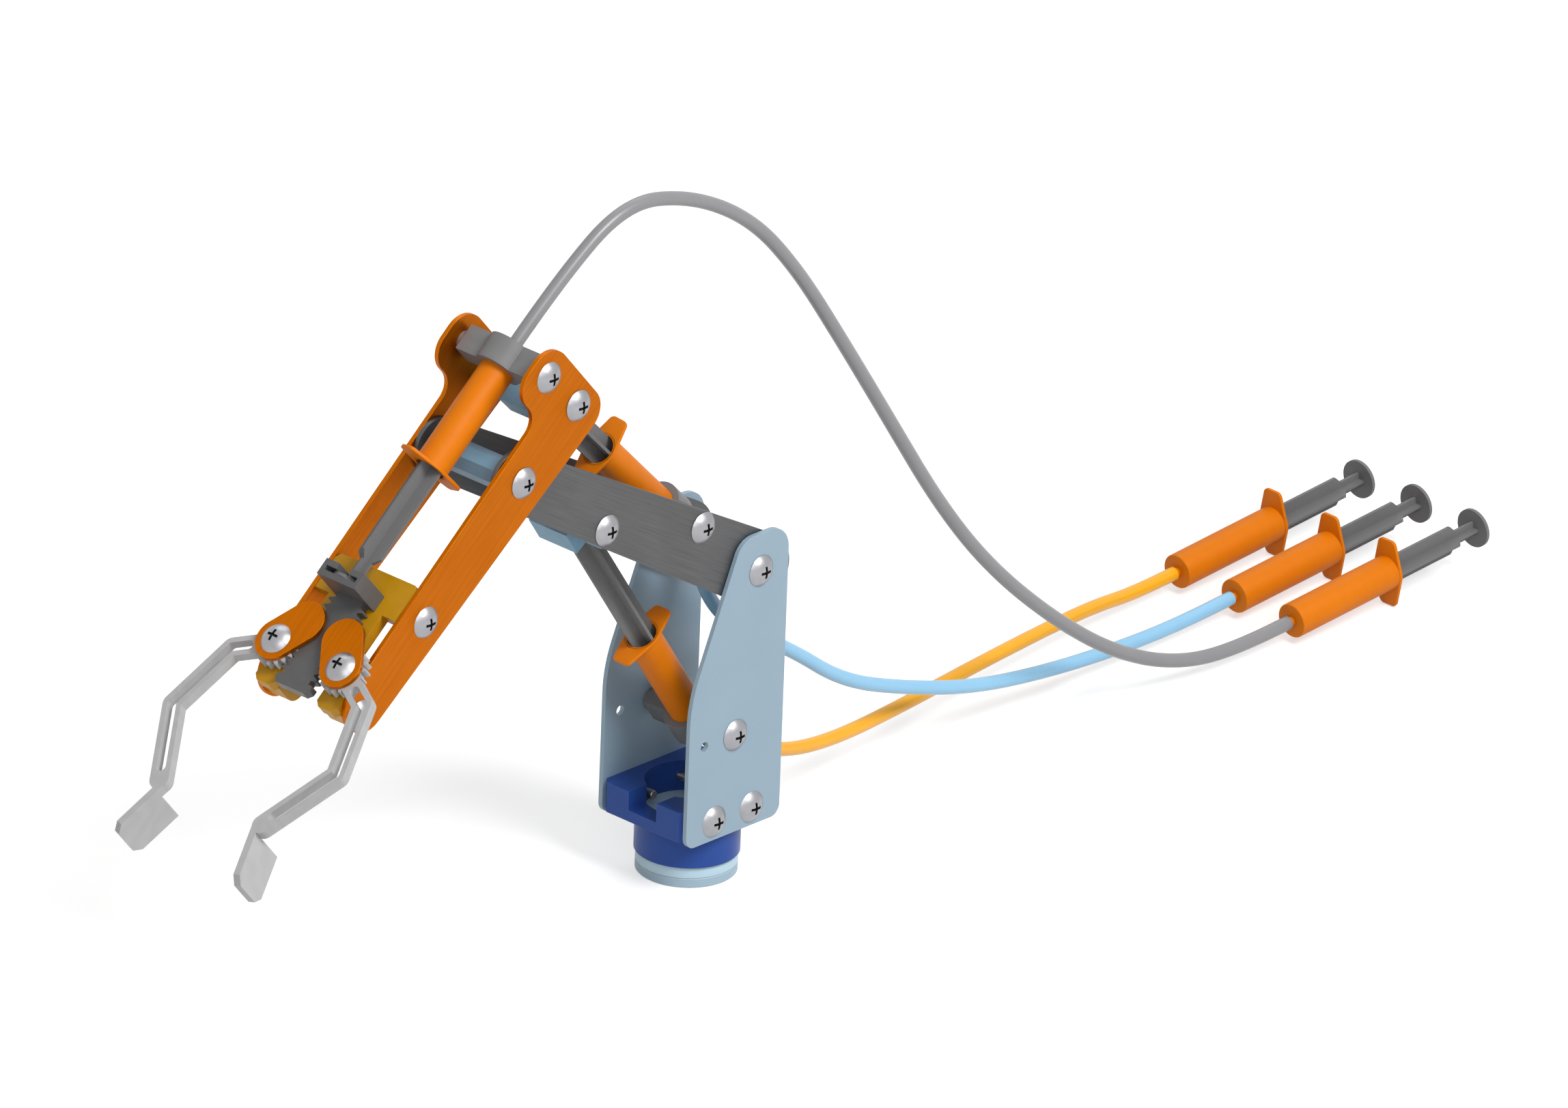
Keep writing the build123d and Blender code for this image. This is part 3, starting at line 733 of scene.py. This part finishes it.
# Screws: mushroom head with a cross recess, and a rolled thread, in place of the plain CAD ones
screw = {
    "headRadius": 0.0069,
    "headHeight": 0.0033,
    "shankRadius": 0.002,
    "length": 0.012,
    "blockLength": 0.016,
    "crossReach": 0.0027,
    "crossHalfWidth": 0.0006,
    "crossWall": 0.00015,
    "crossDepth": 0.0018,
    "crossFloorSlope": 0.3,
    "threadPitch": 0.0007,
    "threadDepth": 0.00012,
    "pointLength": 0.0003,
    "pointShare": 0.9,
    "shankInHead": 0.0003,
    "capSteps": 10,
    "aroundShank": 20,
    "rowsPerTurn": 4,
    "sharpAngle": 30,
}


def headGrid(screw):
    # A square grid whose middle keeps straight lines for the cross and whose outside blends to a
    # circle: x and y are the grid's own a and b times k, which goes from 1 at the cross's reach to
    # max(a, b) / hypot(a, b) at the rim.
    # z is a sphere's cap, less the depth of the recess where either arm of the cross covers (a, b).
    radius = screw["headRadius"]
    height = screw["headHeight"]
    reach = screw["crossReach"]
    width = screw["crossHalfWidth"]
    wall = screw["crossWall"]
    inner = [0, width - wall, width, (width + reach) / 2, reach - wall, reach]
    half = np.concatenate([inner, np.linspace(reach, radius, screw["capSteps"])[1:]])
    lines = np.concatenate([-half[:0:-1], half])
    a, b = np.meshgrid(lines, lines, indexing="ij")
    square = np.maximum(abs(a), abs(b))
    away = np.hypot(a, b)
    blend = smoothStep(square, reach, radius)
    k = 1 - blend * (1 - square / np.where(away > 0, away, 1))
    x = a * k
    y = b * k
    ball = (radius**2 + height**2) / (2 * height)
    z = height - ball + np.sqrt(ball**2 - np.minimum(np.hypot(x, y), radius) ** 2)
    slim = width - wall / 2
    long = reach - wall / 2
    inCross = ((abs(a) < slim) & (abs(b) < long)) | ((abs(b) < slim) & (abs(a) < long))
    z = z - inCross * (screw["crossDepth"] - screw["crossFloorSlope"] * away)
    # the faces in the recess, which take the zinc painted dark there: painted shade
    sunk = inCross[:-1, :-1] | inCross[1:, :-1] | inCross[:-1, 1:] | inCross[1:, 1:]
    return np.stack([x, y, z], axis=-1), sunk.astype(int).ravel()


def underGrid(top):
    # the head's rim drawn in to the axis, all at z = 0
    rim = np.concatenate([top[:-1, 0], top[-1, :-1], top[:0:-1, -1], top[0, :0:-1]])
    return np.stack([rim, rim * 0])


def shankGrid(screw, length):
    # Radius as a function of the turn round the shank and the depth: the shank's less a triangle
    # wave in depth / pitch - turn, with a short bevel at the point. The first and last rings are
    # repeated at radius 0, which closes the ends flat.
    turns = length / screw["threadPitch"]
    depth = np.linspace(-screw["shankInHead"], length, round(turns * screw["rowsPerTurn"]))
    depth = np.concatenate([depth[:1], depth, depth[-1:]])[:, None]
    turn = np.arange(screw["aroundShank"])[None, :] / screw["aroundShank"]
    wave = abs((depth / screw["threadPitch"] - turn) % 1 * 2 - 1)
    bevel = np.clip((length - depth) / screw["pointLength"], 0, 1)
    share = screw["pointShare"] + (1 - screw["pointShare"]) * bevel
    radius = (screw["shankRadius"] - screw["threadDepth"] * wave) * share
    radius[0] = 0
    radius[-1] = 0
    angle = 2 * np.pi * turn
    return np.stack([radius * np.cos(angle), radius * np.sin(angle), -depth + 0 * angle], axis=-1)


def sideSpots(node):
    # A side's heads stand in the upper rear and the lower front corner of the node's box, or there
    # is one head, which fills the box. The other side mirrors them.
    low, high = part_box(node)
    radius = screw["headRadius"]
    centres = [(low.x + radius, high.z - radius), (high.x - radius, low.z + radius)]
    if high.x - low.x < 3 * radius:
        centres = centres[:1]
    under = high.y - screw["headHeight"]
    across = np.array([1.0, 0, 0])
    return [
        (np.array([x, side * under, z]), across, np.array([0, side, 0.0]))
        for x, z in centres
        for side in (1, -1)
    ]


def fingerSpots(node):
    # on the two finger joints' axes, as high as the CAD screws' crowns
    spots = []
    for name in ("finger_left_turn", "finger_right_turn"):
        axis = np.array(joints[name]["axis"], float)
        axis = axis / np.linalg.norm(axis)
        pivot = np.array(joints[name]["pos_m"], float)
        crown = max(np.dot(vertex.co, axis) for vertex in nodes[node].data.vertices)
        lift = crown - screw["headHeight"] - pivot @ axis
        spots.append((pivot + lift * axis, np.cross(axis, [0, 1.0, 0]), axis))
    return spots


def retainingSpots(node):
    # one upright screw in the middle of the node's box
    low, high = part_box(node)
    middle = (low + high) / 2
    origin = np.array([middle.x, middle.y, high.z - screw["headHeight"]])
    return [(origin, np.array([1.0, 0, 0]), np.array([0, 0, 1.0]))]


def addScrews(node, spots, length):
    top, sunk = headGrid(screw)
    grids = []
    paint = []
    for origin, across, axis in spots:
        grids.append((setOn(top, origin, across, axis), False))
        grids.append((setOn(underGrid(top), origin, across, axis), True))
        grids.append((setOn(shankGrid(screw, length), origin, across, axis), True))
        paint.append(sunk)
        for grid, closed in grids[-2:]:
            paint.append(np.zeros((grid.shape[0] - 1) * grid.shape[1], int))
    # the second finish is the zinc painted dark in the cross recess: painted shade
    materials = [finishes["screw_steel"], paintedRecessShadeFinish]
    piece = addPiece(node + "_cross", grids, materials, bodyOf[node], screw["sharpAngle"], paint)
    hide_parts(node)


screwNodes = [name for name in nodes if slotOf[name] == "screw_steel"]
for name in screwNodes:
    if name == "finger_screws":
        addScrews(name, fingerSpots(name), screw["length"])
    elif name == "retaining_screw":
        addScrews(name, retainingSpots(name), screw["length"])
    else:
        addScrews(name, sideSpots(name), screw["blockLength" if name == "block_screws" else "length"])
print("screws cut:", len(screwNodes), "sets")


# Syringe barrels: thin walls, a nose with its nozzle, and finger ears with softened edges
barrel = {
    "radius": 0.0075,
    "wall": 0.0009,
    "nose": 0.0015,
    "noseRound": 0.0005,
    "noseSteps": 5,
    "nozzleRadius": 0.002,
    "nozzleBore": 0.0008,
    "nozzleLength": 0.002,
    "earReach": 0.01525,
    "earTip": 0.0098,
    "earCorner": 0.0025,
    "earThickness": 0.0015,
    "earRound": 0.0003,
    "earRoundMiddle": 0.3,
    "rim": 0.0004,
    "around": 96,
    "sharpAngle": 40,
}

# How far the ears are turned from upright, in degrees, on the barrels where the photograph shows it
earTurns = {"gripper_barrel": 22.0, "elbow_barrel": -4.0}

# The joint along whose axis each barrel lies
strokes = {
    "gripper_barrel": "grip",
    "lift_barrel": "lift_stroke",
    "elbow_barrel": "elbow_stroke",
    "control_barrel_grip": "control_grip_stroke",
    "control_barrel_elbow": "control_elbow_stroke",
    "control_barrel_lift": "control_lift_stroke",
}


def tubeGrid(barrel, length):
    # a closed profile of (radius, height) carried round the axis: the nozzle, the nose with its
    # corner on a quarter circle, the outer wall, and back down inside
    base = barrel["nozzleLength"]
    soft = barrel["noseRound"]
    quarter = np.linspace(0, np.pi / 2, barrel["noseSteps"])
    corner = np.stack(
        [
            barrel["radius"] - soft + soft * np.sin(quarter),
            base + soft - soft * np.cos(quarter),
        ],
        axis=1,
    )
    inside = barrel["radius"] - barrel["wall"]
    ends = [
        (inside, length),
        (inside, base + barrel["nose"]),
        (barrel["nozzleBore"], base + barrel["nose"]),
        (barrel["nozzleBore"], 0),
    ]
    start = [(barrel["nozzleBore"], 0), (barrel["nozzleRadius"], 0), (barrel["nozzleRadius"], base)]
    profile = np.concatenate([start, corner, [(barrel["radius"], length)], ends])
    return turned(profile, barrel["around"])


def earGrid(barrel, length):
    # The outline is the hull of a rounded bar and a circle, by the angle of its outward normal: where
    # the bar reaches further along the normal the point is its corner's centre plus the corner's
    # radius times the normal, else it is the circle's. Inset and height then run round the rim.
    angle = 2 * np.pi * (np.arange(barrel["around"]) + 0.5) / barrel["around"]
    normal = np.stack([np.cos(angle), np.sin(angle)], axis=-1)
    corner = barrel["earCorner"]
    centre = np.sign(normal) * [barrel["earReach"] - corner, barrel["earTip"] / 2 - corner]
    disc = barrel["radius"] + barrel["rim"]
    barReach = np.sum(centre * normal, axis=1) + corner
    outline = np.where((barReach > disc)[:, None], centre + corner * normal, disc * normal)
    low = length - barrel["earThickness"]
    soft = barrel["earRound"]
    middle = soft * barrel["earRoundMiddle"]
    inner = (barrel["radius"] - barrel["wall"] / 2) * normal
    rim = [(soft, low), (middle, low + middle), (0, low + soft)]
    rim += [(0, length - soft), (middle, length - middle), (soft, length)]
    rows = [np.insert(inner, 2, low, axis=1)]
    rows += [np.insert(outline - inset * normal, 2, height, axis=1) for inset, height in rim]
    rows += [np.insert(inner, 2, length, axis=1), np.insert(inner, 2, low, axis=1)]
    return np.stack(rows)


def addBarrel(node):
    # the stroke joint gives the axis, and the CAD barrel's own corners give the nozzle's tip and the open end
    axis = np.array(joints[strokes[node]]["axis"], float)
    axis = axis / np.linalg.norm(axis)
    level = np.array([0, 1.0, 0])
    upright = np.cross(axis, level)
    points = np.array([vertex.co for vertex in nodes[node].data.vertices], float)
    origin = np.zeros(3)
    for direction in (level, upright):
        reach = points @ direction
        origin += direction * (reach.min() + reach.max()) / 2
    heights = points @ axis
    origin += axis * heights.min()
    turn = math.radians(earTurns.get(node, 0.0))
    up = upright * math.copysign(1, upright[2])
    across = up * math.cos(turn) - level * math.sin(turn)
    length = heights.max() - heights.min()
    shapes = (tubeGrid(barrel, length), earGrid(barrel, length))
    grids = [(setOn(shape, origin, across, axis), True) for shape in shapes]
    materials = [finishes["barrel_plastic"]]
    piece = addPiece(node + "_moulding", grids, materials, bodyOf[node], barrel["sharpAngle"])
    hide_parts(node)


for node in strokes:
    addBarrel(node)
print("barrels moulded:", len(strokes))


# Table, light and backdrop
studio = {
    "floorSize": 12.0,
    "floorTone": "#D0D0D0",
    "floorRough": 0.7,
    "floorGloss": 0.2,
    "floorGlow": 0.5,
    "skyTone": "#FFFFFF",
    "skyLight": 0.34,
    "skySeen": 1.0,
}
lamps = {
    "keyLamp": {"azimuth": 92, "elevation": 50, "distance": 4.0, "size": 1.8, "power": 124},
    "fillLamp": {"azimuth": 42, "elevation": 30, "distance": 4.4, "size": 2.8, "power": 40},
    "backLamp": {"azimuth": 225, "elevation": 55, "distance": 4.4, "size": 2.8, "power": 32},
}


def seenDirectly(tree):
    # 1 for rays from the camera, from gloss and through glass, else 0
    path = addNode(tree, "ShaderNodeLightPath").outputs
    seen = path["Is Camera Ray"]
    for kind in ("Is Glossy Ray", "Is Transmission Ray"):
        seen = addNode(
            tree, "ShaderNodeMath", {"operation": "MAXIMUM"}, {0: seen, 1: path[kind]}
        ).outputs[0]
    return seen


def addFloor(studio):
    # matt white laminate, which also glows for the camera so that the table reads as white
    half = studio["floorSize"] / 2
    outline = [(-half, -half, 0), (half, -half, 0), (half, half, 0), (-half, half, 0)]
    mesh = bpy.data.meshes.new("tableTop")
    mesh.from_pydata(outline, [], [(0, 1, 2, 3)])
    material = bpy.data.materials.new("whiteLaminate")
    material.use_nodes = True
    tree = material.node_tree
    shader = tree.nodes["Principled BSDF"]
    shader.inputs["Base Color"].default_value = colour(studio["floorTone"])
    shader.inputs["Roughness"].default_value = studio["floorRough"]
    shader.inputs["Specular IOR Level"].default_value = studio["floorGloss"]
    strength = addNode(
        tree,
        "ShaderNodeMath",
        {"operation": "MULTIPLY", 1: studio["floorGlow"]},
        {0: seenDirectly(tree)},
    ).outputs[0]
    glow = addNode(tree, "ShaderNodeEmission", {}, {"Strength": strength})
    both = addNode(tree, "ShaderNodeAddShader", {}, {0: shader.outputs[0], 1: glow.outputs[0]})
    tree.links.new(both.outputs[0], tree.nodes["Material Output"].inputs["Surface"])
    mesh.materials.append(material)
    floor = bpy.data.objects.new("tableTop", mesh)
    scene.collection.objects.link(floor)


def addSky(studio):
    world = bpy.data.worlds.new("studioWorld")
    world.use_nodes = True
    tree = world.node_tree
    sky = tree.nodes["Background"]
    sky.inputs["Color"].default_value = colour(studio["skyTone"])
    strength = addNode(
        tree,
        "ShaderNodeMapRange",
        {"To Min": studio["skyLight"], "To Max": studio["skySeen"]},
        {0: seenDirectly(tree)},
    ).outputs[0]
    tree.links.new(strength, sky.inputs["Strength"])
    scene.world = world


def addLamp(name, lamp):
    # a disc that faces the origin
    away = outward(lamp["azimuth"], lamp["elevation"])
    data = bpy.data.lights.new(name, "AREA")
    data.shape = "DISK"
    data.size = lamp["size"]
    data.energy = lamp["power"]
    light = bpy.data.objects.new(name, data)
    turn = away.to_track_quat("Z", "Y").to_matrix().to_4x4()
    light.matrix_world = Matrix.Translation(away * lamp["distance"]) @ turn
    light.visible_camera = False
    scene.collection.objects.link(light)


addFloor(studio)
addSky(studio)
for name, lamp in lamps.items():
    addLamp(name, lamp)
scene.view_settings.view_transform = "Standard"
print("studio lit")
